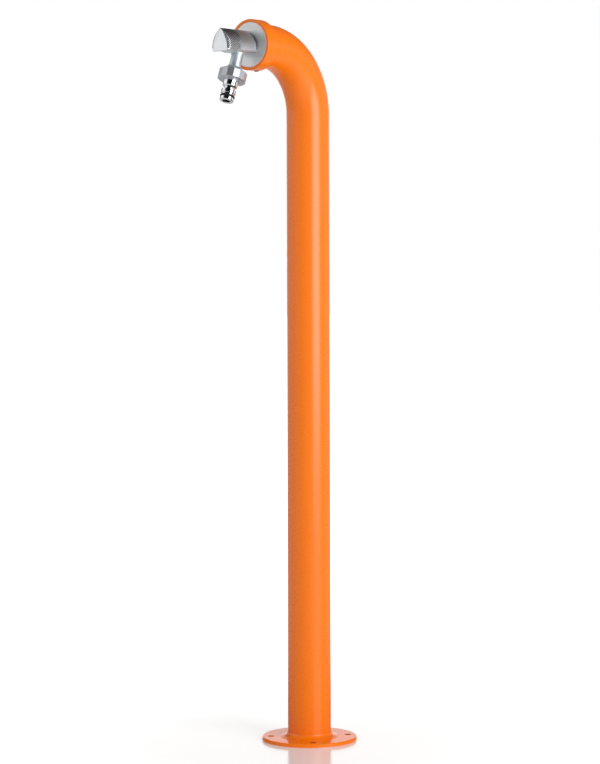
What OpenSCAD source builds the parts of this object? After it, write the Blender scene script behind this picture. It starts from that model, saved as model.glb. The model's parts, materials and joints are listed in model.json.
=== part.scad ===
// Garden tap fountain: a bent steel column on a round flange carries a horizontal
// quarter-turn tap with a knurled handle and a hose connector.
// Lengths are in millimetres. +Z is up, the tap points along -Y, and the origin is
// the centre of the flange's underside.

/* [Column] */
// Outside diameter of the column's tube
column_od = 60.3; // [58:0.1:61]
// Wall of the column's tube
column_wall = 2; // [1.5:0.1:2.5]
// Height of the tap's axis above the ground
axis_height = 965; // [600:5:1200]
// Radius of the bend, on the tube's centre line
bend_radius = 90; // [80:1:110]
// Straight run of the tube from the bend to its mouth
mouth_run = 35; // [32:1:60]

/* [Base] */
// Diameter of the base flange
base_d = 132; // [128:1:180]
// Thickness of the base flange
base_t = 5; // [4:0.5:10]
// Distance of the fixing holes' centres from the flange's edge
hole_margin = 12; // [9:0.5:14]
// Diameter of one fixing hole
hole_d = 9; // [7:0.5:11]
// Number of fixing holes
hole_count = 4; // [3:1:6]
// Width of the fillet weld on the flange
weld_width = 9.5; // [5:0.5:12]
// Height of the fillet weld on the tube
weld_height = 6.5; // [4:0.5:9]

/* [Collar and disc] */
// Wall of the collar over the tube at the mouth
collar_wall = 4.8; // [4.2:0.1:7]
// Length of the collar along the tube
collar_length = 20; // [18:0.5:24]
// Rounding of the collar's front edge
collar_front_round = 2.6; // [1:0.1:3]
// Rounding of the collar's rear edge
collar_rear_round = 1.8; // [0.5:0.1:2]
// Thickness of the disc
disc_t = 4; // [3:0.5:5]
// How far the disc's face lies inside the collar
disc_recess = 0.5; // [0.3:0.1:1.5]
// Bevel on the disc's front edge, measured across its thickness
disc_bevel = 0.5; // [0.3:0.1:0.8]
// Diameter of the locking screw under the collar
lock_screw_d = 6; // [4:0.5:6]
// How far the locking screw stands out of the collar
lock_screw_proud = 0.7; // [0.5:0.1:3]

/* [Tap] */
// Full width of the tap's rounded triangular bar
bar_width = 33.2; // [32.6:0.1:36]
// Height of the bar's ridge above the tap's axis
bar_rise = 18.4; // [18:0.1:21]
// Depth of the bar's flat underside below the axis
bar_drop = 13; // [13:0.1:15]
// Rounding of the bar's two lower corners
bar_corner = 6; // [4:0.1:8]
// Length of the smooth rear half, the tap's body
body_length = 29.8; // [29:0.1:34]
// Length of the knurled front half, the handle
handle_length = 25.1; // [24:0.1:32]
// Gap between the two halves
seam_gap = 0.6; // [0.3:0.05:0.8]
// Bevel round the handle's front face
face_bevel = 1.2; // [0.5:0.1:2]
// Thickness of the polished plate behind the body
rosette_t = 3.5; // [2:0.1:5]
// Depth of the finger hollow under the handle
hollow_depth = 2.4; // [1:0.1:3]

/* [Spout and connector] */
// Angle of the spout's axis from the vertical
spout_angle = 20; // [15:1:21]
// Diameter of the spout's tube
spout_d = 16; // [15:0.5:16.5]
// Distance along the spout's axis from the tap's axis to the spout's shoulder
spout_length = 33; // [30:0.5:45]
// Size of the connector's nut, across its flats
nut_across = 38.2; // [36:0.1:42]
// Number of the nut's flats
nut_flat_count = 14; // [8:2:16]
// Height of the connector's nut
nut_height = 16.6; // [15:0.1:20]
// Largest diameter of the nipple's catch ring
nipple_d = 20.6; // [20.4:0.1:21]
// Bore of the nipple
nipple_bore = 11.2; // [8:0.1:11.4]

/* [Supply hose] */
// Outside diameter of the inner hose
hose_od = 14; // [12:0.5:15]
// Bore of the inner hose
hose_bore = 9; // [8:0.5:9.5]
// Height of the inlet nut's open end above the ground
inlet_height = 30; // [10:1:60]

/* [Hidden] */

// Smoothness of round faces
$fn = 96;
// Overrun of a cutting solid beyond what it cuts
cut = 1;
// Clearance between round faces of pieces that fit together
fit = 0.1;
// Running clearance between a turning face and its seat
run = 0.05;

// Colours of the finishes
orange_paint = "#ff7a18";
satin_steel = "#b9bbbd";
bright_chrome = "#d5d8da";
raw_brass = "#c6a15a";
black_rubber = "#1c1c1e";
white_ceramic = "#f1efe9";
dark_steel = "#3b3b3d";

// Column
column_r = column_od / 2;
column_bore_r = column_r - column_wall;
reach = bend_radius + mouth_run;
bend_start = axis_height - bend_radius;

// Collar and disc, measured outwards from the mouth
collar_r = column_r + fit + collar_wall;
seat_depth = 6;
disc_ledge = 0.8;
disc_r = column_r + disc_ledge;
disc_back = -disc_recess - disc_t;
disc_bevel_share = 1.8;
disc_seal_wall = 2.4;
lock_screw_socket = 3;
lock_screw_shift = 2;
lock_screw_place = -(collar_length + seat_depth) / 2 - lock_screw_shift;

// Section of the tap's bar: two flank arcs meet at the ridge, two corner arcs below
bar_half = bar_width / 2;
corner_y = bar_corner - bar_drop;
corner_x = bar_half - bar_corner;
flank_rise = bar_rise - corner_y;
flank_r = (bar_half * bar_half + flank_rise * flank_rise) / bar_width;
flank_x = flank_r - bar_half;

// Stations along the tap's axis, measured outwards from the mouth
groove_width = 0.8;
groove_inset = 1.5;
edge_bevel = 0.5;
seam_bevel = 0.2;
rosette_front = rosette_t - disc_recess;
body_start = rosette_front + groove_width;
body_end = body_start + body_length;
handle_start = body_end + seam_gap;
handle_end = handle_start + handle_length;
hollow_margin = 2.2;

// Tail of the tap's body, its washer and its nut
tail_r = 10.4;
tail_bore_r = 5.5;
back_washer_r = 20;
back_washer_t = 2;
back_nut_across = 30;
back_nut_t = 6;
tail_length = 24;
washer_place = disc_back - back_washer_t;
back_nut_place = washer_place - back_nut_t;

// Valve inside the body: the chamber opens at the seam
chamber_r = 9.6;
chamber_depth = 24;
chamber_floor = body_end - chamber_depth;
seat_seal_t = 2;
seat_seal_wall = 2.5;
ceramic_t = 3;
ceramic_r = 7.4;
ceramic_gap = 0.4;
ceramic_port_r = 2.2;
ceramic_port_x = 3.8;
gland_r = 10.6;
gland_t = 5.5;
gland_sink = 0.6;
gland_hex = 12;
gland_gap = 0.4;
spindle_r = 4;
spindle_drive_t = 2.4;
spindle_drive_r = 7;
spindle_grip = 14;
spindle_groove_r = 2.6;
oring_thick = 1.4;
oring_pitch = 3.6;
fixed_disc_start = chamber_floor + seat_seal_t;
moving_disc_start = fixed_disc_start + ceramic_t + run;
drive_start = moving_disc_start + ceramic_t;
drive_end = drive_start + spindle_drive_t;
gland_start = body_end - gland_sink - gland_t;
window_r = 3.2;
first_oring = drive_end + run + oring_thick;

// Handle
handle_screw_d = 5;
handle_screw_sink = 1;
handle_screw_hex = 2.5;
handle_screw_place = handle_start + spindle_grip / 2;
face_hollow_r = (pow(handle_length - 2 * hollow_margin, 2) / 4 + hollow_depth * hollow_depth)
    / (2 * hollow_depth);

// Spout, stations measured along its axis from the tap's axis
spout_root = 18;
spout_r = spout_d / 2;
spout_bore_r = 5;
spout_bore_start = 6;
spout_flare = 2.5;
shoulder_step = 0.9;
shoulder_r = spout_r + shoulder_step;
shoulder_t = 2;
shoulder_gap = 0.6;
thread_r = 13.2;
thread_cone = 2.9;
thread_length = 9.5;
cone_start = spout_length + shoulder_t + shoulder_gap;
thread_start = cone_start + thread_cone;
thread_end = thread_start + thread_length;

// Hose connector, along the same axis
nut_bevel = 3.6;
nut_foot_bevel = 1.4;
swivel_bevel = 1.6;
bevel_slope_share = 1.55;
nut_set_back = 0.2;
nut_angle = 18.9;
nut_top = thread_start + nut_set_back;
nut_bottom = nut_top + nut_height;
nut_lip = 2.2;
washer_t = 2;
nipple_flange_r = 12.7;
nipple_bore_r = nipple_bore / 2;
body_r = 10.9;
body_taper = 0.5;
nipple_start = thread_end + washer_t;
neck_r = 7.3;
catch_r = nipple_d / 2;
land_step = 1;
land_r = catch_r - land_step;
tip_step = 0.4;
tip_r = catch_r - tip_step;
tip_bevel = 0.8;
mouth_bevel = 0.6;
oring_r = 1.9;
body_t = 8.2;
neck_slope_t = 2.8;
neck_t = 1.6;
neck_rise_t = 1.2;
catch_t = 5;
catch_slope_t = 0.8;
land_t = 1.4;
tip_t = 4.6;
oring_seat = 0.1;
groove_floor_r = catch_r - oring_seat - 2 * oring_r - run;
catch_place = nut_bottom + body_t + neck_slope_t + neck_t + neck_rise_t;
catch_end = catch_place + catch_t;
groove_place = catch_end + catch_slope_t + land_t;

// Supply hose: end fittings, alike above and below
hose_r = hose_od / 2;
hose_bore_r = hose_bore / 2;
ferrule_wall = 1.2;
coupling_across = 26;
coupling_height = 17;
coupling_lip = 3;
coupling_washer_t = 2;
coupling_flange_t = 2;
coupling_bore_r = tail_r + fit;
coupling_neck_r = 6;
coupling_relief = 0.4;
coupling_relief_t = coupling_washer_t + coupling_flange_t + run;
stem_r = hose_bore_r - fit;
stem_length = 22;
ferrule_length = 24;
ferrule_r = hose_r + ferrule_wall;
ferrule_gap = 2;
crimp_depth = 0.6;
crimp_width = 3;
crimp_count = 3;
upper_fitting = -tail_length;
hose_lead = 3;
inlet_thread = coupling_height - coupling_lip - coupling_relief_t;
fitting_to_hose = coupling_relief_t + coupling_lip + ferrule_gap;
fitting_end = fitting_to_hose + ferrule_length;
hose_bend_r = reach - tail_length - fitting_end - hose_lead;
inlet_seat = inlet_height + inlet_thread;
hose_bottom = inlet_seat + fitting_to_hose;

// Puts a piece on the tap's axis: local Z points outwards from the mouth, local Y up
module on_tap() {
    translate([0, -reach, axis_height])
        rotate([90, 0, 0])
            children();
}

// Puts a piece on the spout's axis: local Z points along the spout, towards its tip
module on_spout() {
    translate([0, -reach - spout_root, axis_height])
        rotate([180 - spout_angle, 0, 0])
            children();
}

// A round tube along Z
module pipe(outer_r, inner_r, length) {
    difference() {
        cylinder(h = length, r = outer_r);
        translate([0, 0, -cut])
            cylinder(h = length + 2 * cut, r = inner_r);
    }
}

// A round rubber ring round Z
module rubber_ring(middle_r, thick_r) {
    rotate_extrude()
        translate([middle_r, 0])
            circle(r = thick_r, $fn = 32);
}

// Outline of the tap's bar, drawn in by an inset
module bar_outline(inset = 0) {
    intersection() {
        translate([-flank_x, corner_y])
            circle(r = flank_r - inset, $fn = 180);
        translate([flank_x, corner_y])
            circle(r = flank_r - inset, $fn = 180);
        translate([-bar_width, corner_y])
            square([2 * bar_width, bar_width + bar_rise]);
    }
    intersection() {
        union() {
            for (side = [-1, 1])
                translate([side * corner_x, corner_y])
                    circle(r = bar_corner - inset);
            translate([-corner_x, inset - bar_drop])
                square([2 * corner_x, bar_corner]);
        }
        translate([-bar_width, -bar_width + corner_y])
            square([2 * bar_width, bar_width]);
    }
}

// A stretch of the bar along Z
module bar(length, inset = 0) {
    linear_extrude(height = length)
        bar_outline(inset);
}

// A bevelled stretch of the bar, whose outline is drawn in from one inset to another
module bar_bevel(length, inset_a, inset_b) {
    intersection() {
        translate([-flank_x, corner_y, 0])
            cylinder(h = length, r1 = flank_r - inset_a, r2 = flank_r - inset_b, $fn = 180);
        translate([flank_x, corner_y, 0])
            cylinder(h = length, r1 = flank_r - inset_a, r2 = flank_r - inset_b, $fn = 180);
        translate([-bar_width, corner_y, -cut])
            cube([2 * bar_width, bar_width + bar_rise, length + 2 * cut]);
    }
    intersection() {
        union() {
            for (side = [-1, 1])
                translate([side * corner_x, corner_y, 0])
                    cylinder(h = length, r1 = bar_corner - inset_a, r2 = bar_corner - inset_b);
            rotate([0, -90, 0])
                translate([0, 0, -corner_x])
                    linear_extrude(height = 2 * corner_x)
                        polygon([
                            [0, inset_a - bar_drop],
                            [length, inset_b - bar_drop],
                            [length, corner_y],
                            [0, corner_y]
                        ]);
        }
        translate([-bar_width, -bar_width + corner_y, -cut])
            cube([2 * bar_width, bar_width, length + 2 * cut]);
    }
}

// The tube, bent through a quarter circle
module column_tube() {
    color(orange_paint)
        difference() {
            column_run(column_r, 0);
            column_run(column_bore_r, cut);
        }
}

// A round bar along the column's centre line, longer at both ends by an overrun
module column_run(radius, over) {
    translate([0, 0, -over])
        cylinder(h = bend_start + over, r = radius);
    translate([0, -bend_radius, bend_start])
        rotate([90, 0, 90])
            rotate_extrude(angle = 90)
                translate([bend_radius, 0])
                    circle(r = radius);
    translate([0, -bend_radius, axis_height])
        rotate([90, 0, 0])
            cylinder(h = mouth_run - seat_depth + over, r = radius);
}

// Round plate with its fixing holes; the tube passes through it
module base_flange() {
    edge = base_t / 5;
    color(orange_paint)
        difference() {
            union() {
                cylinder(h = base_t - edge, r = base_d / 2);
                translate([0, 0, base_t - edge])
                    cylinder(h = edge, r1 = base_d / 2, r2 = base_d / 2 - edge);
            }
            translate([0, 0, -cut])
                cylinder(h = base_t + 2 * cut, r = column_r + fit);
            for (i = [0:hole_count - 1])
                rotate([0, 0, 360 * (i + 1 / 2) / hole_count])
                    translate([base_d / 2 - hole_margin, 0, -cut])
                        cylinder(h = base_t + 2 * cut, r = hole_d / 2, $fn = 48);
        }
}

// Hollow fillet weld between tube and flange
module base_weld() {
    inner = column_r + fit;
    foot_share = 0.08;
    steps = 10;
    color(orange_paint)
        translate([0, 0, base_t])
            rotate_extrude()
                polygon(concat(
                    [[inner, 0]],
                    [[inner + weld_width, 0]],
                    [for (i = [0:steps])
                        let (turn = 90 * i / steps)
                        [
                            inner + weld_width * (foot_share + (1 - foot_share) * (1 - sin(turn))),
                            weld_height * (foot_share + (1 - foot_share) * (1 - cos(turn)))
                        ]
                    ],
                    [[inner, weld_height]]
                ));
}

// Rounded ring over the tube's end, with the disc's seat in its mouth
module collar_ring() {
    color(orange_paint)
        on_tap()
            difference() {
                translate([0, 0, -collar_length])
                    rotate_extrude()
                        collar_profile();
                translate([0, 0, -collar_length - cut])
                    cylinder(h = collar_length + 2 * cut, r = column_r + fit);
                translate([0, 0, -seat_depth])
                    cylinder(h = seat_depth + cut, r = disc_r + 2 * fit);
                translate([0, 0, lock_screw_place])
                    rotate([90, 0, 0])
                        cylinder(h = 2 * collar_r, r = lock_screw_d / 2 + fit, $fn = 48);
            }
}

// Half section of the collar from its axis, with both outer edges rounded
module collar_profile() {
    square([collar_r - collar_front_round, collar_length]);
    translate([0, collar_rear_round])
        square([collar_r, collar_length - collar_rear_round - collar_front_round]);
    square([collar_r - collar_rear_round, collar_length / 2]);
    translate([collar_r - collar_front_round, collar_length - collar_front_round])
        circle(r = collar_front_round, $fn = 48);
    translate([collar_r - collar_rear_round, collar_rear_round])
        circle(r = collar_rear_round, $fn = 48);
}

// Grub screw that locks the collar on the tube
module collar_screw() {
    tip_place = column_r + fit;
    length = collar_r - tip_place + lock_screw_proud;
    color(dark_steel)
        on_tap()
            translate([0, -tip_place, lock_screw_place])
                rotate([90, 0, 0])
                    difference() {
                        cylinder(h = length, r = lock_screw_d / 2, $fn = 48);
                        translate([0, 0, length / 2])
                            cylinder(h = length, r = lock_screw_socket / 2, $fn = 6);
                    }
}

// Metal disc that closes the mouth and carries the tap
module face_disc() {
    color(satin_steel)
        on_tap()
            translate([0, 0, disc_back])
                difference() {
                    union() {
                        cylinder(h = disc_t - disc_bevel, r = disc_r);
                        translate([0, 0, disc_t - disc_bevel])
                            cylinder(h = disc_bevel, r1 = disc_r, r2 = disc_r - disc_bevel_share * disc_bevel);
                    }
                    translate([0, 0, -cut])
                        cylinder(h = disc_t + 2 * cut, r = tail_r + fit);
                }
}

// Flat rubber ring between the disc and the tube's end
module disc_seal() {
    color(black_rubber)
        on_tap()
            translate([0, 0, -seat_depth])
                pipe(disc_r, disc_r - disc_seal_wall, seat_depth + disc_back);
}

// Polished plate of the bar's own outline, between the disc and the body
module tap_rosette() {
    color(bright_chrome)
        on_tap()
            translate([0, 0, -disc_recess])
                difference() {
                    union() {
                        bar(rosette_t - edge_bevel);
                        translate([0, 0, rosette_t - edge_bevel])
                            bar_bevel(edge_bevel, 0, edge_bevel);
                    }
                    translate([0, 0, -cut])
                        cylinder(h = rosette_t + 2 * cut, r = tail_r + fit);
                }
}

// The smooth half of the tap: bar, tail, spout and the bores for the valve and the water
module tap_body() {
    color(satin_steel)
        difference() {
            union() {
                on_tap() {
                    translate([0, 0, rosette_front])
                        bar(groove_width, groove_inset);
                    translate([0, 0, body_start])
                        bar_bevel(edge_bevel, edge_bevel, 0);
                    translate([0, 0, body_start + edge_bevel])
                        bar(body_length - edge_bevel - seam_bevel);
                    translate([0, 0, body_end - seam_bevel])
                        bar_bevel(seam_bevel, 0, seam_bevel);
                    translate([0, 0, -tail_length])
                        cylinder(h = tail_length + rosette_front, r = tail_r);
                }
                on_spout()
                    spout();
            }
            on_tap() {
                translate([0, 0, -tail_length - cut])
                    cylinder(h = tail_length + chamber_floor + 2 * cut, r = tail_bore_r);
                translate([0, 0, chamber_floor])
                    cylinder(h = chamber_depth + cut, r = chamber_r);
                translate([0, 0, gland_start])
                    cylinder(h = gland_t + gland_sink + cut, r = gland_r);
            }
            on_spout()
                translate([0, 0, spout_bore_start])
                    cylinder(h = thread_end, r = spout_bore_r);
        }
}

// Spout tube with its flared root, shoulder and threaded end
module spout() {
    root = bar_drop / cos(spout_angle) - spout_r * tan(spout_angle);
    cylinder(h = spout_length, r = spout_r);
    translate([0, 0, root])
        cylinder(h = 2 * spout_flare, r1 = spout_r + spout_flare / 2, r2 = spout_r);
    translate([0, 0, spout_length])
        cylinder(h = shoulder_t, r = shoulder_r);
    translate([0, 0, spout_length])
        cylinder(h = thread_start - spout_length, r = spout_r);
    translate([0, 0, cone_start])
        cylinder(h = thread_cone, r1 = shoulder_r, r2 = thread_r);
    translate([0, 0, thread_start])
        cylinder(h = thread_length, r = thread_r);
}

// Steel washer behind the disc
module back_washer() {
    color(satin_steel)
        on_tap()
            translate([0, 0, washer_place])
                pipe(back_washer_r, tail_r + fit, back_washer_t);
}

// Hexagon nut that clamps the tap to the disc
module back_nut() {
    color(raw_brass)
        on_tap()
            translate([0, 0, back_nut_place])
                difference() {
                    cylinder(h = back_nut_t, r = back_nut_across / (2 * cos(30)), $fn = 6);
                    translate([0, 0, -cut])
                        cylinder(h = back_nut_t + 2 * cut, r = tail_r + fit);
                }
}

// The knurled half of the tap, hollowed below for a finger
module handle() {
    middle = (handle_start + handle_end) / 2;
    color(satin_steel)
        on_tap()
            difference() {
                union() {
                    translate([0, 0, handle_start])
                        bar_bevel(seam_bevel, seam_bevel, 0);
                    translate([0, 0, handle_start + seam_bevel])
                        bar(handle_length - seam_bevel - face_bevel);
                    translate([0, 0, handle_end - face_bevel])
                        bar_bevel(face_bevel, 0, face_bevel);
                }
                translate([-bar_width, hollow_depth - bar_drop - face_hollow_r, middle])
                    rotate([0, 90, 0])
                        cylinder(h = 2 * bar_width, r = face_hollow_r, $fn = 180);
                translate([0, 0, handle_start - cut])
                    cylinder(h = spindle_grip + cut, r = spindle_r + run);
                translate([0, 0, handle_screw_place])
                    rotate([0, -90, 0])
                        cylinder(h = bar_width, r = handle_screw_d / 2 + run, $fn = 48);
            }
}

// Grub screw that holds the handle on the spindle
module handle_screw() {
    tip_place = spindle_r;
    length = bar_half - handle_screw_sink - 2 * face_bevel - tip_place;
    color(dark_steel)
        on_tap()
            translate([-tip_place, 0, handle_screw_place])
                rotate([0, -90, 0])
                    difference() {
                        cylinder(h = length, r = handle_screw_d / 2, $fn = 48);
                        translate([0, 0, length / 2])
                            cylinder(h = length, r = handle_screw_hex / 2, $fn = 6);
                    }
}

// Spindle: a drive plate behind, two grooves for its rings, and the handle's seat in front
module spindle() {
    color(raw_brass)
        on_tap()
            difference() {
                union() {
                    translate([0, 0, drive_start])
                        cylinder(h = spindle_drive_t, r = spindle_drive_r);
                    translate([0, 0, drive_end])
                        cylinder(h = handle_start + spindle_grip - drive_end, r = spindle_r);
                }
                for (i = [0, 1])
                    translate([0, 0, first_oring + i * oring_pitch - oring_thick / 2 - run])
                        pipe(spindle_drive_r, spindle_groove_r, oring_thick + 2 * run);
            }
}

// Two rubber rings that seal the spindle
module spindle_orings() {
    color(black_rubber)
        on_tap()
            for (i = [0, 1])
                translate([0, 0, first_oring + i * oring_pitch])
                    rubber_ring(spindle_groove_r + oring_thick / 2 + run / 4, oring_thick / 2);
}

// Ring nut with a hexagon socket that holds the cartridge in the body
module gland_nut() {
    color(raw_brass)
        on_tap()
            translate([0, 0, gland_start])
                difference() {
                    cylinder(h = gland_t, r = gland_r - fit);
                    translate([0, 0, -cut])
                        cylinder(h = gland_t + 2 * cut, r = spindle_r + gland_gap);
                    translate([0, 0, gland_t / 2])
                        cylinder(h = gland_t, r = gland_hex / (2 * cos(30)), $fn = 6);
                }
}

// Brass sleeve that holds the ceramic discs and guides the spindle
module valve_cartridge() {
    sleeve_r = chamber_r - fit;
    guide_start = drive_end + run;
    color(raw_brass)
        difference() {
            on_tap()
                difference() {
                    translate([0, 0, fixed_disc_start])
                        cylinder(h = gland_start - fixed_disc_start, r = sleeve_r);
                    translate([0, 0, fixed_disc_start - cut])
                        cylinder(h = guide_start - fixed_disc_start + cut, r = ceramic_r + fit);
                    translate([0, 0, fixed_disc_start])
                        cylinder(h = gland_start - fixed_disc_start + cut, r = spindle_r + run);
                }
            on_spout()
                cylinder(h = 2 * chamber_r, r = window_r);
        }
}

// Rubber ring between the chamber's floor and the fixed disc
module cartridge_seal() {
    color(black_rubber)
        on_tap()
            translate([0, 0, chamber_floor])
                pipe(chamber_r - fit, chamber_r - fit - seat_seal_wall, seat_seal_t);
}

// A ceramic disc with its two water ports
module ceramic_disc(radius) {
    difference() {
        cylinder(h = ceramic_t, r = radius);
        for (side = [-1, 1])
            translate([side * ceramic_port_x, 0, -cut])
                cylinder(h = ceramic_t + 2 * cut, r = ceramic_port_r, $fn = 48);
    }
}

// Ceramic disc that stays in the cartridge
module fixed_ceramic_disc() {
    color(white_ceramic)
        on_tap()
            translate([0, 0, fixed_disc_start])
                ceramic_disc(ceramic_r);
}

// Ceramic disc that turns with the spindle, closed at rest
module moving_ceramic_disc() {
    color(white_ceramic)
        on_tap()
            translate([0, 0, moving_disc_start])
                rotate([0, 0, 90])
                    ceramic_disc(ceramic_r - ceramic_gap);
}

// Union nut of the hose connector, with many narrow flats
module connector_nut() {
    corner_r = nut_across / (2 * cos(180 / nut_flat_count));
    color(bright_chrome)
        on_spout()
            translate([0, 0, nut_top])
                difference() {
                    intersection() {
                        linear_extrude(height = nut_height)
                            polygon([
                                for (i = [1:nut_flat_count])
                                    let (turn = nut_angle + 360 * i / nut_flat_count)
                                    [corner_r * cos(turn), corner_r * sin(turn)]
                            ]);
                        nut_bevels(corner_r, nut_height, nut_bevel, nut_foot_bevel);
                    }
                    translate([0, 0, -cut])
                        cylinder(h = nut_height - nut_lip + cut, r = thread_r + fit);
                    translate([0, 0, -cut])
                        cylinder(h = nut_height + 2 * cut, r = body_r + fit);
                }
}

// Round blank that bevels a nut's corners at both ends
module nut_bevels(corner_r, height, first, last) {
    wide_r = corner_r + bevel_slope_share * cut;
    cylinder(h = first + cut, r1 = corner_r - bevel_slope_share * first, r2 = wide_r);
    translate([0, 0, first + cut])
        cylinder(h = height - first - last - 2 * cut, r = wide_r);
    translate([0, 0, height - last - cut])
        cylinder(h = last + cut, r1 = wide_r, r2 = corner_r - bevel_slope_share * last);
}

// Flat rubber washer between the spout and the nipple
module connector_washer() {
    color(black_rubber)
        on_spout()
            translate([0, 0, thread_end])
                pipe(nipple_flange_r, nipple_bore_r, washer_t);
}

// Turned nipple that a hose's click coupling snaps on to
module connector_nipple() {
    flange_end = nut_bottom - nut_lip;
    neck_place = nut_bottom + body_t + neck_slope_t;
    groove_end = groove_place + 2 * oring_r + 2 * run;
    tip_end = groove_end + tip_t;
    color(bright_chrome)
        on_spout()
            rotate_extrude()
                polygon([
                    [nipple_bore_r, nipple_start],
                    [nipple_flange_r, nipple_start],
                    [nipple_flange_r, flange_end],
                    [body_r, flange_end],
                    [body_r, nut_bottom],
                    [body_r - body_taper, nut_bottom + body_t],
                    [neck_r, neck_place],
                    [neck_r, neck_place + neck_t],
                    [catch_r, catch_place],
                    [catch_r, catch_end],
                    [land_r, catch_end + catch_slope_t],
                    [land_r, groove_place],
                    [groove_floor_r, groove_place],
                    [groove_floor_r, groove_end],
                    [tip_r, groove_end],
                    [tip_r, tip_end - tip_bevel],
                    [tip_r - tip_bevel, tip_end],
                    [nipple_bore_r + mouth_bevel, tip_end],
                    [nipple_bore_r, tip_end - mouth_bevel]
                ]);
}

// O-ring of the nipple
module connector_oring() {
    color(black_rubber)
        on_spout()
            translate([0, 0, groove_place + oring_r + run])
                rubber_ring(groove_floor_r + run + oring_r, oring_r);
}

// Swivel nut, open end at Z zero, its lip at the far end
module swivel_nut(across, bore_r) {
    difference() {
        intersection() {
            cylinder(h = coupling_height, r = across / (2 * cos(30)), $fn = 6);
            nut_bevels(across / (2 * cos(30)), coupling_height, swivel_bevel, swivel_bevel);
        }
        translate([0, 0, -cut])
            cylinder(h = inlet_thread + 2 * cut, r = bore_r);
        translate([0, 0, inlet_thread])
            cylinder(h = coupling_relief_t, r = bore_r + coupling_relief);
        translate([0, 0, inlet_thread])
            cylinder(h = coupling_height, r = coupling_neck_r + fit);
    }
}

// Hose tail: flange, neck and the stem inside the hose; its flange seats at Z zero
module hose_tail() {
    difference() {
        union() {
            cylinder(h = coupling_flange_t, r = coupling_bore_r - 3 * fit);
            cylinder(h = fitting_to_hose - coupling_washer_t, r = coupling_neck_r);
            cylinder(h = fitting_to_hose - coupling_washer_t + stem_length, r = stem_r);
        }
        translate([0, 0, -cut])
            cylinder(h = fitting_to_hose + stem_length + 2 * cut, r = stem_r / 2);
    }
}

// Crimped sleeve over the hose's end
module hose_ferrule() {
    difference() {
        cylinder(h = ferrule_length, r = ferrule_r);
        translate([0, 0, -cut])
            cylinder(h = ferrule_length + 2 * cut, r = hose_r + fit);
        for (i = [1:crimp_count])
            translate([0, 0, i * ferrule_length / (crimp_count + 1) - crimp_width / 2])
                pipe(2 * ferrule_r, ferrule_r - crimp_depth, crimp_width);
    }
}

// Puts an end fitting behind the tap's tail; its seat is at Z zero
module at_upper_fitting() {
    on_tap()
        translate([0, 0, upper_fitting])
            rotate([180, 0, 0])
                children();
}

// Puts an end fitting over the inlet's seat at the column's foot
module at_inlet() {
    translate([0, 0, inlet_seat])
        children();
}

// Braided inner hose from the tap's tail round the bend and down the column
module supply_hose() {
    color(satin_steel)
        difference() {
            hose_run(hose_r, 0);
            hose_run(hose_bore_r, cut);
        }
}

// A round bar along the hose's route, longer at both ends by an overrun
module hose_run(radius, over) {
    lead = hose_lead + ferrule_length;
    turn_top = axis_height - hose_bend_r;
    translate([0, -hose_bend_r - lead - over, axis_height])
        rotate([-90, 0, 0])
            cylinder(h = lead + over, r = radius);
    translate([0, -hose_bend_r, turn_top])
        rotate([90, 0, 90])
            rotate_extrude(angle = 90)
                translate([hose_bend_r, 0])
                    circle(r = radius);
    translate([0, 0, hose_bottom - over])
        cylinder(h = turn_top - hose_bottom + over, r = radius);
}

// Swivel nut on the tap's tail
module upper_coupling_nut() {
    color(raw_brass)
        at_upper_fitting()
            translate([0, 0, -inlet_thread])
                swivel_nut(coupling_across, coupling_bore_r);
}

// Washer of the upper coupling
module upper_coupling_washer() {
    color(black_rubber)
        at_upper_fitting()
            pipe(coupling_bore_r - fit, stem_r, coupling_washer_t);
}

// Hose tail of the upper coupling
module upper_hose_tail() {
    color(raw_brass)
        at_upper_fitting()
            translate([0, 0, coupling_washer_t])
                hose_tail();
}

// Ferrule of the hose's upper end
module upper_hose_ferrule() {
    color(bright_chrome)
        at_upper_fitting()
            translate([0, 0, fitting_to_hose])
                hose_ferrule();
}

// Swivel nut that takes the water supply at the column's foot
module inlet_nut() {
    color(raw_brass)
        at_inlet()
            translate([0, 0, -inlet_thread])
                swivel_nut(coupling_across, coupling_bore_r);
}

// Washer of the inlet nut
module inlet_washer() {
    color(black_rubber)
        at_inlet()
            pipe(coupling_bore_r - fit, stem_r, coupling_washer_t);
}

// Hose tail in the inlet nut
module inlet_hose_tail() {
    color(raw_brass)
        at_inlet()
            translate([0, 0, coupling_washer_t])
                hose_tail();
}

// Ferrule of the hose's lower end
module lower_hose_ferrule() {
    color(bright_chrome)
        at_inlet()
            translate([0, 0, fitting_to_hose])
                hose_ferrule();
}

column_tube();
base_flange();
base_weld();
collar_ring();
collar_screw();
face_disc();
disc_seal();
tap_rosette();
tap_body();
back_washer();
back_nut();
handle();
handle_screw();
spindle();
spindle_orings();
gland_nut();
valve_cartridge();
cartridge_seal();
fixed_ceramic_disc();
moving_ceramic_disc();
connector_nut();
connector_washer();
connector_nipple();
connector_oring();
supply_hose();
upper_coupling_nut();
upper_coupling_washer();
upper_hose_tail();
upper_hose_ferrule();
inlet_nut();
inlet_washer();
inlet_hose_tail();
lower_hose_ferrule();
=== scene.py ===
import json
import math
import bpy
import bmesh
from mathutils import Matrix, Vector


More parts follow.
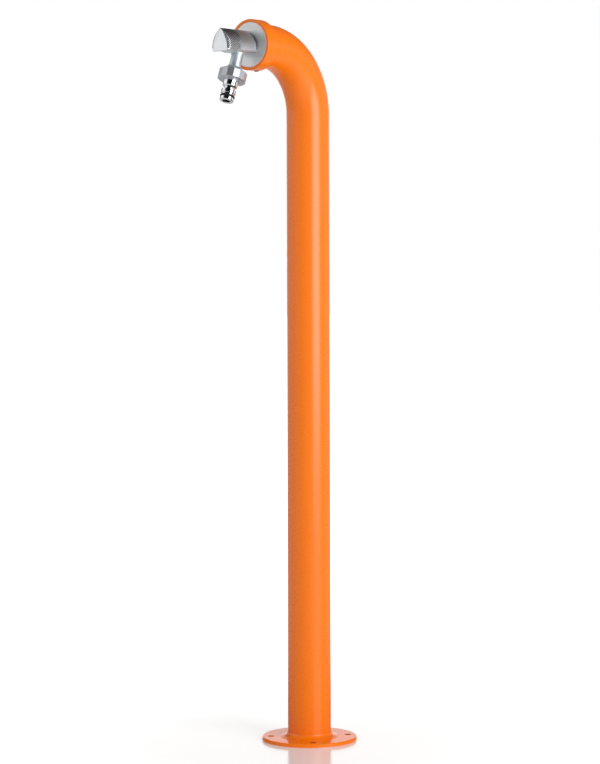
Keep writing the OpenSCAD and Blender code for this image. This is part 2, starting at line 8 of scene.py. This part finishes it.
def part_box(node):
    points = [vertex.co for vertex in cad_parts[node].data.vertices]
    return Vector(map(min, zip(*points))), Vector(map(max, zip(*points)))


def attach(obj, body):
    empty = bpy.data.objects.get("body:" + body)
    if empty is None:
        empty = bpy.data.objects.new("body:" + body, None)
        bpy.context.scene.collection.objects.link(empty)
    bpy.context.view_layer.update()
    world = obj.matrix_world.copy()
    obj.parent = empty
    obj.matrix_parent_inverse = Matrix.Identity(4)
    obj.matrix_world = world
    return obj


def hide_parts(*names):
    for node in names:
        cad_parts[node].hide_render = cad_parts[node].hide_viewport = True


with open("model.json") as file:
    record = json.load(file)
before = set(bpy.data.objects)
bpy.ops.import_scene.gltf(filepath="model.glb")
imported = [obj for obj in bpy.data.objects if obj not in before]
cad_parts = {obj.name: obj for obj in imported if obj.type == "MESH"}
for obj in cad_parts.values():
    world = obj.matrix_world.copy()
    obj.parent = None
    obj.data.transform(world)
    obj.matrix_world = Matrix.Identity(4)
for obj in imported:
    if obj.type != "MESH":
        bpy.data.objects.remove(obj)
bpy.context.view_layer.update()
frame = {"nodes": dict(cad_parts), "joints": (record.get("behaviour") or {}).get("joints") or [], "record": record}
NODES = frame["nodes"]
MM = 0.001

# The tap's axis and its outline, read off the frame
turn = frame["joints"][0]
AXIS_HEIGHT = turn["pos_m"][2]
handle_low, handle_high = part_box("handle")

# Degrees from straight in front of the tap, round towards +X, to the camera
CAMERA_AZIMUTH = 39.73


# Adding a node with its settings and links

def add(tree, kind, inputs=None, **settings):
    """Adds a node; an input given as a socket is linked, any other is set."""
    node = tree.nodes.new(kind)
    for name, value in settings.items():
        setattr(node, name, value)
    for name, value in (inputs or {}).items():
        if isinstance(value, bpy.types.NodeSocket):
            tree.links.new(value, node.inputs[name])
        else:
            node.inputs[name].default_value = value
    return node


def linear(code):
    """Turns an sRGB hex colour into the linear values that the shaders use."""
    levels = [int(code[i:i + 2], 16) / 255 for i in (1, 3, 5)]
    return [c / 12.92 if c <= 0.04045 else ((c + 0.055) / 1.055) ** 2.4 for c in levels] + [1.0]


def new_material(name):
    """A blank material with its output node."""
    material = bpy.data.materials.new(name)
    material.use_nodes = True
    material.node_tree.nodes.clear()
    output = add(material.node_tree, "ShaderNodeOutputMaterial")
    return material, material.node_tree, output


def surface(tree, output, settings):
    """A principled surface with these settings, wired to the output."""
    shader = add(tree, "ShaderNodeBsdfPrincipled", settings)
    tree.links.new(shader.outputs["BSDF"], output.inputs["Surface"])


def waves_per_metre(millimetres):
    """The texture scale whose features are this many millimetres across."""
    return 1 / (millimetres * MM)


# Materials

def uneven(tree, millimetres, detail, least, most):
    """A noise over the piece with features this many millimetres across, and a
    roughness that wanders with it from least to most."""
    place = add(tree, "ShaderNodeTexCoord").outputs["Object"]
    noise = add(tree, "ShaderNodeTexNoise", {
        "Vector": place, "Scale": waves_per_metre(millimetres), "Detail": detail}).outputs["Fac"]
    roughness = add(tree, "ShaderNodeMapRange", {
        "Value": noise, "To Min": least, "To Max": most}).outputs["Result"]
    return noise, roughness


def painted_hole_shade(tree):
    """1 where shade is painted: on the walls of the flange's fixing holes, and on the ring of its
    underside that they open into, which rests on the ground. 0 elsewhere."""
    anchors = next(m for m in frame["record"]["mounts"] if m["name"] == "anchor_bolts")["dims"]
    circle_r = anchors["pcd_mm"] / 2 * MM
    spare = 1.5 * MM
    half_band = anchors["hole_r_mm"] * MM + spare
    unshaded_lip = 0.2 * MM
    flange_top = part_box("base_flange")[1].z
    spot = add(tree, "ShaderNodeNewGeometry").outputs["Position"]
    level = add(tree, "ShaderNodeVectorMath", {0: spot, 1: (1.0, 1.0, 0.0)}, operation="MULTIPLY")
    reach = add(tree, "ShaderNodeVectorMath", {0: level.outputs["Vector"]}, operation="LENGTH")
    band = add(tree, "ShaderNodeMath", {0: reach.outputs["Value"], 1: circle_r, 2: half_band},
               operation="COMPARE")
    height = add(tree, "ShaderNodeSeparateXYZ", {"Vector": spot}).outputs["Z"]
    # The top of each hole's wall is left out of the painted shade
    below = add(tree, "ShaderNodeMath", {0: height, 1: flange_top - unshaded_lip},
                operation="LESS_THAN")
    return add(tree, "ShaderNodeMath", {0: band.outputs[0], 1: below.outputs[0]},
               operation="MULTIPLY").outputs[0]


def powder_coated_steel():
    """Orange polyester powder coat, baked on steel: an even colour, a satin gloss
    and the fine orange peel that the melted powder leaves. The walls of the fixing
    holes carry a painted shade, a darker red, so that the holes read as holes."""
    material, tree, output = new_material("orange_powder_coat")
    peel, roughness = uneven(tree, millimetres=2.2, detail=2.0, least=0.25, most=0.31)
    place = add(tree, "ShaderNodeTexCoord").outputs["Object"]
    drift = add(tree, "ShaderNodeTexNoise", {"Vector": place, "Scale": waves_per_metre(180), "Detail": 3.0})
    tone = add(tree, "ShaderNodeMix", {
        0: drift.outputs["Fac"], 6: linear("#F17200"), 7: linear("#F37600")}, data_type="RGBA")
    # Painted shade: a darker red on the walls of the fixing holes and on the ring under them
    shaded = add(tree, "ShaderNodeMix", {
        0: painted_hole_shade(tree), 6: tone.outputs[2], 7: linear("#B83A00")}, data_type="RGBA")
    bump = add(tree, "ShaderNodeBump", {"Height": peel, "Strength": 0.07, "Distance": 0.03 * MM})
    surface(tree, output, {
        "Base Color": shaded.outputs[2],
        "Roughness": roughness,
        "Normal": bump.outputs["Normal"],
    })
    return material


def brushed_stainless():
    """Stainless sheet ground on a belt: long scratches one way and a soft grey gloss.
    The scratches are drawn coarser than a belt's, so that they show, and all but the
    flat faces are drawn pale and unmetallic, a painted highlight that makes the disc's bevel a light line."""
    material, tree, output = new_material("brushed_stainless")
    place = add(tree, "ShaderNodeTexCoord").outputs["Object"]
    stretch = 25
    along = add(tree, "ShaderNodeMapping", {"Vector": place, "Scale": (1 / stretch, 1.0, 1.0)})
    scratch = add(tree, "ShaderNodeTexNoise", {
        "Vector": along.outputs["Vector"], "Scale": waves_per_metre(0.8), "Detail": 3.0})
    roughness = add(tree, "ShaderNodeMapRange", {
        "Value": scratch.outputs["Fac"], "To Min": 0.42, "To Max": 0.58})
    bump = add(tree, "ShaderNodeBump", {
        "Height": scratch.outputs["Fac"], "Strength": 0.25, "Distance": 0.03 * MM})
    # Painted highlight: faces that are not square to the axis, such as the disc's bevel, are drawn pale and
    # unmetallic
    facing = add(tree, "ShaderNodeNewGeometry").outputs["True Normal"]
    axial = add(tree, "ShaderNodeVectorMath", {0: facing, 1: (0.0, 1.0, 0.0)},
                operation="DOT_PRODUCT").outputs["Value"]
    squareness = add(tree, "ShaderNodeMath", {0: axial}, operation="ABSOLUTE").outputs[0]
    flat = add(tree, "ShaderNodeMapRange", {
        "Value": squareness, "From Min": 0.9, "From Max": 0.98}).outputs["Result"]
    tone = add(tree, "ShaderNodeMix", {
        0: flat, 6: linear("#FAFBFC"), 7: linear("#E2E3E4")}, data_type="RGBA")
    surface(tree, output, {
        "Base Color": tone.outputs[2],
        "Metallic": flat,
        "Roughness": roughness.outputs["Result"],
        "Normal": bump.outputs["Normal"],
    })
    return material


def satin_chrome(name, tone, smoothest):
    """Brass blasted with fine beads, then chromed: a soft silver sheen with a fine grain,
    which is drawn coarser than the beads leave it, so that it shows."""
    spread = 0.08
    material, tree, output = new_material(name)
    grain, roughness = uneven(tree, millimetres=0.9, detail=2.0, least=smoothest, most=smoothest + spread)
    bump = add(tree, "ShaderNodeBump", {"Height": grain, "Strength": 0.15, "Distance": 0.03 * MM})
    surface(tree, output, {
        "Base Color": linear(tone),
        "Metallic": 1.0,
        "Roughness": roughness,
        "Normal": bump.outputs["Normal"],
    })
    return material


def painted_groove_shade():
    """Painted shade for the bottoms of the knurl: a dark grey in the grooves that draws
    the diamonds."""
    material, tree, output = new_material("painted_groove_shade")
    roughness = uneven(tree, millimetres=2, detail=2.0, least=0.42, most=0.55)[1]
    surface(tree, output, {
        "Base Color": linear("#85878B"),
        "Metallic": 1.0,
        "Roughness": roughness,
    })
    return material


def bright_chrome():
    """Polished brass under bright chrome: mirror-like, with faint polishing haze."""
    material, tree, output = new_material("bright_chrome")
    roughness = uneven(tree, millimetres=6, detail=3.0, least=0.06, most=0.12)[1]
    surface(tree, output, {
        "Base Color": linear("#E4E6E8"),
        "Metallic": 1.0,
        "Roughness": roughness,
    })
    return material


def dull_chrome():
    """Chrome over a rough turned nut: greyer and softer than the polished nipple."""
    material, tree, output = new_material("dull_chrome")
    marks, roughness = uneven(tree, millimetres=1.6, detail=3.0, least=0.38, most=0.5)
    bump = add(tree, "ShaderNodeBump", {"Height": marks, "Strength": 0.1, "Distance": 0.03 * MM})
    surface(tree, output, {
        "Base Color": linear("#D0D3D8"),
        "Metallic": 0.93,
        "Roughness": roughness,
        "Normal": bump.outputs["Normal"],
    })
    return material


def turned_brass():
    """Bare turned brass: a warm yellow whose gloss is a little uneven."""
    material, tree, output = new_material("turned_brass")
    roughness = uneven(tree, millimetres=1.2, detail=3.0, least=0.25, most=0.42)[1]
    surface(tree, output, {
        "Base Color": linear("#C9A45C"),
        "Metallic": 1.0,
        "Roughness": roughness,
    })
    return material


def moulded_rubber():
    """Moulded EPDM rubber: near black and dull, with a slight bloom."""
    material, tree, output = new_material("black_epdm_rubber")
    roughness = uneven(tree, millimetres=4, detail=4.0, least=0.42, most=0.6)[1]
    surface(tree, output, {
        "Base Color": linear("#141416"),
        "Roughness": roughness,
    })
    return material


def blackened_steel():
    """Grub screws of blackened alloy steel: dark, oiled, a little shiny."""
    material, tree, output = new_material("blackened_steel")
    roughness = uneven(tree, millimetres=1.5, detail=2.0, least=0.3, most=0.5)[1]
    surface(tree, output, {
        "Base Color": linear("#4A4A4E"),
        "Metallic": 1.0,
        "Roughness": roughness,
    })
    return material


def steel_braid():
    """Stainless wire braided over the inner hose, drawn as small round bumps with
    shinier gaps. The hose is hidden inside the column."""
    material, tree, output = new_material("stainless_braid")
    place = add(tree, "ShaderNodeTexCoord").outputs["Object"]
    strands = add(tree, "ShaderNodeTexVoronoi", {
        "Vector": place, "Scale": waves_per_metre(1.6)})
    roughness = add(tree, "ShaderNodeMapRange", {
        "Value": strands.outputs["Distance"], "From Max": 0.7, "To Min": 0.62, "To Max": 0.2})
    bump = add(tree, "ShaderNodeBump", {
        "Height": strands.outputs["Distance"], "Strength": 0.5, "Distance": 0.3 * MM}, invert=True)
    surface(tree, output, {
        "Base Color": linear("#C4C6C8"),
        "Metallic": 1.0,
        "Roughness": roughness.outputs["Result"],
        "Normal": bump.outputs["Normal"],
    })
    return material


def alumina_ceramic():
    """Lapped alumina valve discs: dense, white and glossy."""
    material, tree, output = new_material("white_alumina")
    roughness = uneven(tree, millimetres=3, detail=2.0, least=0.12, most=0.22)[1]
    surface(tree, output, {
        "Base Color": linear("#F1EEE6"),
        "Roughness": roughness,
    })
    return material


FINISH = {
    "orange_paint": powder_coated_steel(),
    "satin_steel": brushed_stainless(),
    "satin_chrome": satin_chrome("satin_chrome", "#E3E5E8", smoothest=0.28),
    "bright_chrome": bright_chrome(),
    "raw_brass": turned_brass(),
    "black_rubber": moulded_rubber(),
    "dark_steel": blackened_steel(),
    "braided_hose": steel_braid(),
    "white_ceramic": alumina_ceramic(),
}


def finish_nodes():
    """Gives every CAD node the finish of its material slot, the nut a duller chrome and
    the tap's body a rougher one than the handle's."""
    for part in frame["record"]["subparts"]:
        mesh = NODES[part["node"]].data
        mesh.materials.clear()
        mesh.materials.append(FINISH[part["material_slot"]])
    NODES["connector_nut"].data.materials[0] = dull_chrome()
    NODES["tap_body"].data.materials[0] = satin_chrome("body_satin_chrome", "#DCE4EA", smoothest=0.44)


# The knurled handle

# Its mesh is drawn in steps of this size, round it and along it
MESH_STEP = 0.25 * MM


def ridge(value):
    """A zigzag that is 0 at every whole number and 1 half-way between them."""
    phase = value % 1.0
    return 1 - abs(2 * phase - 1)


def ease(value):
    """A soft step from 0 to 1 while the value goes from 0 to 1."""
    t = max(0.0, min(1.0, value))
    return t * t * (3 - 2 * t)


def bar_outline():
    """The handle's section: (across, up, outward direction, knurled or not) round the
    bar, from the ridge down the right flank, along the underside and back up the left."""
    half = (handle_high.x - handle_low.x) / 2
    rise = handle_high.z - AXIS_HEIGHT
    drop = AXIS_HEIGHT - handle_low.z
    corner = 6 * MM
    corner_y = corner - drop
    corner_x = half - corner
    flank_rise = rise - corner_y
    flank = (half ** 2 + flank_rise ** 2) / (2 * half)
    flank_x = flank - half
    top = math.asin(flank_rise / flank)
    points = []
    flank_steps = round(flank * top / MESH_STEP)
    for i in range(flank_steps):
        a = top * (1 - i / flank_steps)
        points.append((flank * math.cos(a) - flank_x, flank * math.sin(a) + corner_y, a, 1))
    corner_steps = 18
    knurled_steps = corner_steps // 2
    for i in range(corner_steps):
        a = -math.pi / 2 * i / corner_steps
        knurled = int(i < knurled_steps)
        points.append((corner_x + corner * math.cos(a), corner_y + corner * math.sin(a), a, knurled))
    under_steps = 8
    for i in range(under_steps):
        points.append((corner_x * (1 - i / under_steps), -drop, -math.pi / 2, 0))
    right = list(points)
    middle = [(0.0, -drop, -math.pi / 2, 0)]
    left = [(-x, y, math.pi - a, k) for x, y, a, k in reversed(right[1:])]
    return right + middle + left


def cut_bore(piece, radius, start, end):
    """Cuts a round bore between two points out of a piece's mesh."""
    sides = 48
    axis = Vector(end) - Vector(start)
    bm = bmesh.new()
    bmesh.ops.create_cone(
        bm, cap_ends=True, segments=sides, radius1=radius, radius2=radius, depth=axis.length)
    mesh = bpy.data.meshes.new("bore")
    bm.to_mesh(mesh)
    bm.free()
    tool = bpy.data.objects.new("bore", mesh)
    middle = (Vector(start) + Vector(end)) / 2
    tool.matrix_world = Matrix.Translation(middle) @ axis.to_track_quat("Z", "Y").to_matrix().to_4x4()
    bpy.context.scene.collection.objects.link(tool)
    cutter = piece.modifiers.new("bore", "BOOLEAN")
    cutter.operation = "DIFFERENCE"
    cutter.solver = "EXACT"
    cutter.object = tool
    bpy.context.view_layer.update()
    shaped = piece.evaluated_get(bpy.context.evaluated_depsgraph_get())
    whole = piece.data
    piece.data = bpy.data.meshes.new_from_object(shaped)
    piece.modifiers.clear()
    bpy.data.objects.remove(tool)
    bpy.data.meshes.remove(mesh)
    bpy.data.meshes.remove(whole)


def knurled_bar():
    """The handle's mesh before its bores: the bar with its diamond knurl, the finger
    hollow and the rounded front edge. The diamonds are drawn coarser than a real
    knurl's, so that they show."""
    outline = bar_outline()
    start = -handle_high.y
    end = -handle_low.y
    length = end - start
    drop = AXIS_HEIGHT - handle_low.z
    knurl_pitch = 3.0 * MM
    knurl_slope = math.tan(math.radians(33))
    knurl_depth = 0.55 * MM
    groove_share = 0.62
    margin = 0.2 * MM
    ridge_margin = 0.6 * MM
    fade_length = 0.3 * MM
    rear_round = 0.45 * MM
    ridge_round = 0.8 * MM
    flank_round = 4.2 * MM
    swell_overrun = 2 * MM
    hollow_depth = 2.4 * MM
    hollow_margin = 2.2 * MM
    chord = length - 2 * hollow_margin
    hollow_r = (chord ** 2 / 4 + hollow_depth ** 2) / (2 * hollow_depth)
    lift = hollow_r - hollow_depth

    travel = [0.0]
    for a, b in zip(outline, outline[1:]):
        travel.append(travel[-1] + math.hypot(b[0] - a[0], b[1] - a[1]))
    right_end = max(i for i in range(len(outline) // 2) if outline[i][3])
    flank_length = travel[right_end]
    whole = travel[-1]

    def edge_fade(distance):
        return max(0.0, min(1.0, distance / fade_length))

    rear_steps = 3
    run = round((length - rear_round) / MESH_STEP)
    round_steps = 12
    rings = []
    heights = []
    bm = bmesh.new()
    for station in range(rear_steps + run + 1 + round_steps):
        ring = []
        relief = []
        for i, (x, y, a, knurled) in enumerate(outline):
            s = min(travel[i], whole - travel[i])
            swell = ease(s / (0.5 * flank_length))
            swell *= ease((flank_length + swell_overrun - s) / (2 * swell_overrun))
            front_round = ridge_round + (flank_round - ridge_round) * swell
            lean = 0.0
            if station < rear_steps:
                t = math.pi / 2 * station / rear_steps
                along = rear_round * (1 - math.cos(t))
                inset = rear_round * (1 - math.sin(t))
                path = along
            elif station <= rear_steps + run:
                t = (station - rear_steps) / run
                along = rear_round + (length - rear_round - front_round) * t
                inset = 0.0
                path = along
            else:
                t = math.pi / 2 * (station - rear_steps - run) / round_steps
                along = length - front_round * (1 - math.sin(t))
                inset = front_round * (1 - math.cos(t))
                path = length - front_round + front_round * t
                lean = t
            dent = 0.0
            if knurled:
                path_end = length - front_round + front_round * math.pi / 2
                shift = path * knurl_slope
                raised = min(ridge((s + shift) / knurl_pitch), ridge((s - shift) / knurl_pitch))
                fade = edge_fade(path - margin) * edge_fade(path_end - margin - path)
                fade *= edge_fade(s - ridge_margin) * edge_fade(flank_length - s)
                dent = knurl_depth * (1 - raised) * fade
            depth = inset + dent * math.cos(lean)
            along -= dent * math.sin(lean)
            px = x - depth * math.cos(a)
            py = y - depth * math.sin(a)
            centre = along - length / 2
            if abs(centre) < chord / 2:
                floor = -drop - lift + math.sqrt(hollow_r ** 2 - centre ** 2)
                py = max(py, floor)
            ring.append(bm.verts.new((px, -(start + along), AXIS_HEIGHT + py)))
            relief.append(dent)
        rings.append(ring)
        heights.append(relief)
    count = len(outline)
    for row, (a, b) in enumerate(zip(rings, rings[1:])):
        for i in range(count):
            j = (i + 1) % count
            face = bm.faces.new((a[i], a[j], b[j], b[i]))
            deep = heights[row][i] + heights[row][j] + heights[row + 1][i] + heights[row + 1][j]
            # Faces deep in the grooves take the second material, a painted shade
            face.material_index = 1 if deep / 4 > groove_share * knurl_depth else 0
    bm.faces.new(list(reversed(rings[0])))
    bm.faces.new(rings[-1])
    bmesh.ops.recalc_face_normals(bm, faces=bm.faces[:])
    mesh = bpy.data.meshes.new("knurled_handle")
    bm.to_mesh(mesh)
    bm.free()
    return mesh


def build_handle():
    """The knurled handle with its bores for the spindle and the grub screw."""
    mesh = knurled_bar()
    mesh.materials.append(FINISH["satin_chrome"])
    mesh.materials.append(painted_groove_shade())
    handle = bpy.data.objects.new("knurled_handle", mesh)
    bpy.context.scene.collection.objects.link(handle)
    screw_low, screw_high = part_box("handle_screw")
    screw_y = (screw_low.y + screw_high.y) / 2
    spindle_r = 4 * MM
    clearance = 0.05 * MM
    overrun = 1 * MM
    screw_r = (screw_high.z - screw_low.z) / 2 + clearance
    seat_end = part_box("spindle")[0].y
    seat_r = spindle_r + clearance
    cut_bore(handle, screw_r, (handle_low.x - overrun, screw_y, AXIS_HEIGHT), (0, screw_y, AXIS_HEIGHT))
    cut_bore(handle, seat_r, (0, handle_high.y + overrun, AXIS_HEIGHT), (0, seat_end, AXIS_HEIGHT))
    mesh = handle.data
    mesh.name = "knurled_handle"
    mesh.polygons.foreach_set("use_smooth", [True] * len(mesh.polygons))
    mesh.set_sharp_from_angle(angle=math.radians(40))
    # The flat ends and the floor of the spindle's bore, which have far more corners than
    # any other face, get sharp edges all round
    many = 20
    caps = {key for face in mesh.polygons if len(face.vertices) > many for key in face.edge_keys}
    sharp = mesh.attributes["sharp_edge"].data
    for edge in mesh.edges:
        if edge.key in caps:
            sharp[edge.index].value = True
    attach(handle, "handle")
    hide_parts("handle")


# The collar's front edge

def sharpen_collar():
    """The collar with a crisper front edge than the solid's, as in the photograph: a
    flat ring round the disc and a narrow rounding that catches the light."""
    solid = NODES["collar_ring"]
    low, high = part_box("collar_ring")
    outer_r = (high.x - low.x) / 2
    solid_round = 2.6 * MM
    crisp_round = 1.0 * MM
    slack = 0.01 * MM
    collar = solid.copy()
    collar.data = solid.data.copy()
    collar.name = "crisp_collar"
    collar.data.name = "crisp_collar"
    bpy.context.scene.collection.objects.link(collar)
    to_world = solid.matrix_world
    to_local = to_world.inverted()
    for vertex in collar.data.vertices:
        point = to_world @ vertex.co
        across = Vector((point.x, 0, point.z - AXIS_HEIGHT))
        reach = across.length - (outer_r - solid_round)
        depth = solid_round - (point.y - low.y)
        if reach > -slack and depth > -slack:
            t = math.atan2(max(depth, 0.0), max(reach, 0.0))
            across = across.normalized() * (outer_r - crisp_round + crisp_round * math.cos(t))
            front = low.y + crisp_round - crisp_round * math.sin(t)
            vertex.co = to_local @ Vector((across.x, front, AXIS_HEIGHT + across.z))
    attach(collar, "column")
    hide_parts("collar_ring")


# Studio

def studio_floor():
    """Glossy pale floor. Its own glow grows outwards, until the camera sees it as white
    as the background. The object's gloss mirrors it dark near the foot and pale further
    off, for contrast in the paint. Distances are in metres from the middle of the foot."""
    half = 30.0
    dark_until = 0.4
    pale_from = 0.9
    glow_starts = 0.15
    glow_full = 0.9
    least_glow = 0.02
    most_glow = 0.62
    glow_in_mirror = 0.06
    glow_on_object = 0.12
    corners = [(-half, -half, 0), (half, -half, 0), (half, half, 0), (-half, half, 0)]
    mesh = bpy.data.meshes.new("studio_floor")
    mesh.from_pydata(corners, [], [(0, 1, 2, 3)])
    floor = bpy.data.objects.new("studio_floor", mesh)
    bpy.context.scene.collection.objects.link(floor)
    material, tree, output = new_material("white_acrylic_floor")
    path = add(tree, "ShaderNodeLightPath").outputs
    place = add(tree, "ShaderNodeTexCoord").outputs["Object"]
    reach = add(tree, "ShaderNodeVectorMath", {0: place}, operation="LENGTH").outputs["Value"]
    near = add(tree, "ShaderNodeMapRange", {
        "Value": reach, "From Min": dark_until, "From Max": pale_from, "To Min": 1.0, "To Max": 0.0})
    shade = add(tree, "ShaderNodeMath", {0: path["Is Glossy Ray"], 1: near.outputs["Result"]},
                operation="MULTIPLY")
    tone = add(tree, "ShaderNodeMix", {
        0: shade.outputs[0], 6: linear("#E7E7E7"), 7: linear("#5A5A5A")}, data_type="RGBA")
    bounce = add(tree, "ShaderNodeMath", {0: path["Is Diffuse Ray"], 1: glow_on_object},
                 operation="MULTIPLY")
    far = add(tree, "ShaderNodeMath", {0: path["Is Glossy Ray"], 1: shade.outputs[0]},
              operation="SUBTRACT")
    mirrored = add(tree, "ShaderNodeMath", {0: far.outputs[0], 1: glow_in_mirror, 2: bounce.outputs[0]},
                   operation="MULTIPLY_ADD")
    away = add(tree, "ShaderNodeMapRange", {
        "Value": reach, "From Min": glow_starts, "From Max": glow_full,
        "To Min": least_glow, "To Max": most_glow}, interpolation_type="SMOOTHSTEP")
    glow = add(tree, "ShaderNodeMath", {
        0: path["Is Camera Ray"], 1: away.outputs["Result"], 2: mirrored.outputs[0]},
        operation="MULTIPLY_ADD")
    surface(tree, output, {
        "Base Color": tone.outputs[2],
        "Roughness": 0.16,
        "Emission Color": (1, 1, 1, 1),
        "Emission Strength": glow.outputs[0],
    })
    material.cycles.emission_sampling = "NONE"
    mesh.materials.append(material)


def softbox(name, azimuth, distance, width, height, level, aim):
    """A rectangular softbox that stands upright at the height of the point it lights,
    this many degrees round from -Y towards +X. Level is its brightness, where white
    paper is about 1."""
    lamp = bpy.data.lights.new(name, "AREA")
    lamp.shape = "RECTANGLE"
    lamp.size = width
    lamp.size_y = height
    lamp.energy = math.pi * width * height * level
    a = math.radians(azimuth)
    back = Vector((math.sin(a), -math.cos(a), 0.0))
    box = bpy.data.objects.new(name, lamp)
    box.location = Vector(aim) + back * distance
    box.rotation_mode = "QUATERNION"
    box.rotation_quaternion = (-back).to_track_quat("-Z", "Y")
    box.visible_camera = False
    bpy.context.scene.collection.objects.link(box)


# Brightness of the studio's walls by direction from the object, in degrees: 0 is the
# camera, 90 is the right-hand side of the picture and -90 its left-hand side
WALLS = [
    (-180, 1.05), (-165, 1.05), (-143, 0.5), (-120, 0.8), (-62, 0.8), (-50, 0.3),
    (-24, 0.08), (0, 0.05), (20, 0.1), (34, 0.3), (62, 0.3), (76, 0.25), (92, 0.3),
    (115, 0.35), (132, 0.5), (145, 0.6), (165, 1.05), (180, 1.0),
]


def studio_world(camera_azimuth):
    """White background and soft room light, dimmer from above. What the gloss mirrors is
    a studio: pale walls below, a dark ceiling, the dark room behind the camera, a tall
    white panel on its left, a low window on its right and a pale wall behind the object."""
    world = bpy.data.worlds.new("studio")
    bpy.context.scene.world = world
    world.cycles.sampling_method = "NONE"
    world.use_nodes = True
    tree = world.node_tree
    tree.nodes.clear()
    direction = add(tree, "ShaderNodeTexCoord").outputs["Generated"]
    up = add(tree, "ShaderNodeSeparateXYZ", {"Vector": direction}).outputs["Z"]
    a = math.radians(camera_azimuth)
    toward = add(tree, "ShaderNodeVectorMath", {0: direction, 1: (math.sin(a), -math.cos(a), 0.0)},
                 operation="DOT_PRODUCT").outputs["Value"]
    right = add(tree, "ShaderNodeVectorMath", {0: direction, 1: (math.cos(a), math.sin(a), 0.0)},
                operation="DOT_PRODUCT").outputs["Value"]
    side = add(tree, "ShaderNodeMath", {0: right, 1: toward}, operation="ARCTAN2").outputs[0]
    degrees = add(tree, "ShaderNodeMath", {0: side}, operation="DEGREES").outputs[0]

    def fade(value, start, end, low, high, curve="SMOOTHSTEP"):
        """Goes from low to high while the value goes from start to end."""
        return add(tree, "ShaderNodeMapRange", {
            "Value": value, "From Min": start, "From Max": end, "To Min": low, "To Max": high},
            interpolation_type=curve).outputs["Result"]

    def combine(kind, first, second):
        """Joins two values by this kind of sum."""
        return add(tree, "ShaderNodeMath", {0: first, 1: second}, operation=kind).outputs[0]

    around = fade(degrees, -180, 180, 0, 1, "LINEAR")
    profile = add(tree, "ShaderNodeValToRGB", {"Fac": around})
    stops = profile.color_ramp.elements
    for place, brightness in WALLS:
        stop = stops.new((place + 180) / 360)
        stop.color = (brightness, brightness, brightness, 1)
    # A new ramp has a stop of its own at each end
    stops.remove(stops[0])
    stops.remove(stops[-1])

    # Heights are the sine of the angle above level. First the walls, dark further up
    walls = combine("MULTIPLY", profile.outputs["Color"], fade(up, 0.15, 0.36, 1, 0.1))
    # The low window on the right
    window = combine("MULTIPLY", fade(degrees, 93, 99, 0, 1), fade(degrees, 112, 120, 0.9, 0))
    walls = combine("ADD", walls, combine("MULTIPLY", window, fade(up, 0.03, 0.14, 1, 0)))
    # The pale wall behind the object
    behind = combine("MULTIPLY", fade(toward, -0.9, -0.97, 0, 0.9), fade(up, 0.2, 0.3, 1, 0))
    walls = combine("ADD", walls, behind)
    # The tall white panel on the left
    panel = combine("MULTIPLY", fade(degrees, -60, -54, 1.05, 0), fade(degrees, -125, -112, 0, 1))
    panel = combine("MULTIPLY", panel, fade(up, 0.5, 0.8, 1, 0.35))
    room = combine("MAXIMUM", walls, panel)

    # Light for all but the gloss and the camera
    room_light = fade(up, 0.3, 0.95, 0.87, 0.4)
    path = add(tree, "ShaderNodeLightPath").outputs
    mirrored = add(tree, "ShaderNodeMix", {0: path["Is Glossy Ray"], 2: room_light, 3: room}).outputs[0]
    level = add(tree, "ShaderNodeMix", {0: path["Is Camera Ray"], 2: mirrored, 3: 1.0}).outputs[0]
    background = add(tree, "ShaderNodeBackground", {"Color": (1, 1, 1, 1), "Strength": level})
    output = add(tree, "ShaderNodeOutputWorld")
    tree.links.new(background.outputs[0], output.inputs["Surface"])


def make_camera():
    """The photograph's viewpoint, found from the tube, the flange and the disc."""
    azimuth = math.radians(CAMERA_AZIMUTH)
    distance = 3.348
    eye_height = 0.6453
    photo_width, photo_height = 600, 764
    focal_pixels = 2385.5
    centre_x, horizon_y = 308.27, 279.0
    roll = math.radians(-0.156)
    lens = bpy.data.cameras.new("camera")
    lens.sensor_width = 36
    lens.lens = focal_pixels / photo_height * lens.sensor_width
    lens.shift_x = (photo_width / 2 - centre_x) / photo_height
    lens.shift_y = (horizon_y - photo_height / 2) / photo_height
    camera = bpy.data.objects.new("camera", lens)
    camera.location = (distance * math.sin(azimuth), -distance * math.cos(azimuth), eye_height)
    camera.rotation_mode = "QUATERNION"
    level = Matrix.Rotation(azimuth, 3, "Z") @ Matrix.Rotation(math.pi / 2, 3, "X")
    camera.rotation_quaternion = (level @ Matrix.Rotation(roll, 3, "Z")).to_quaternion()
    bpy.context.scene.collection.objects.link(camera)
    bpy.context.scene.camera = camera


make_camera()
finish_nodes()
build_handle()
sharpen_collar()
studio_floor()
studio_world(CAMERA_AZIMUTH)
softbox("key_softbox", azimuth=CAMERA_AZIMUTH + 43.5, distance=2.2,
        width=1.5, height=1.6, level=5.0, aim=(0, 0, 1.05))
bpy.context.scene.view_settings.view_transform = "Standard"
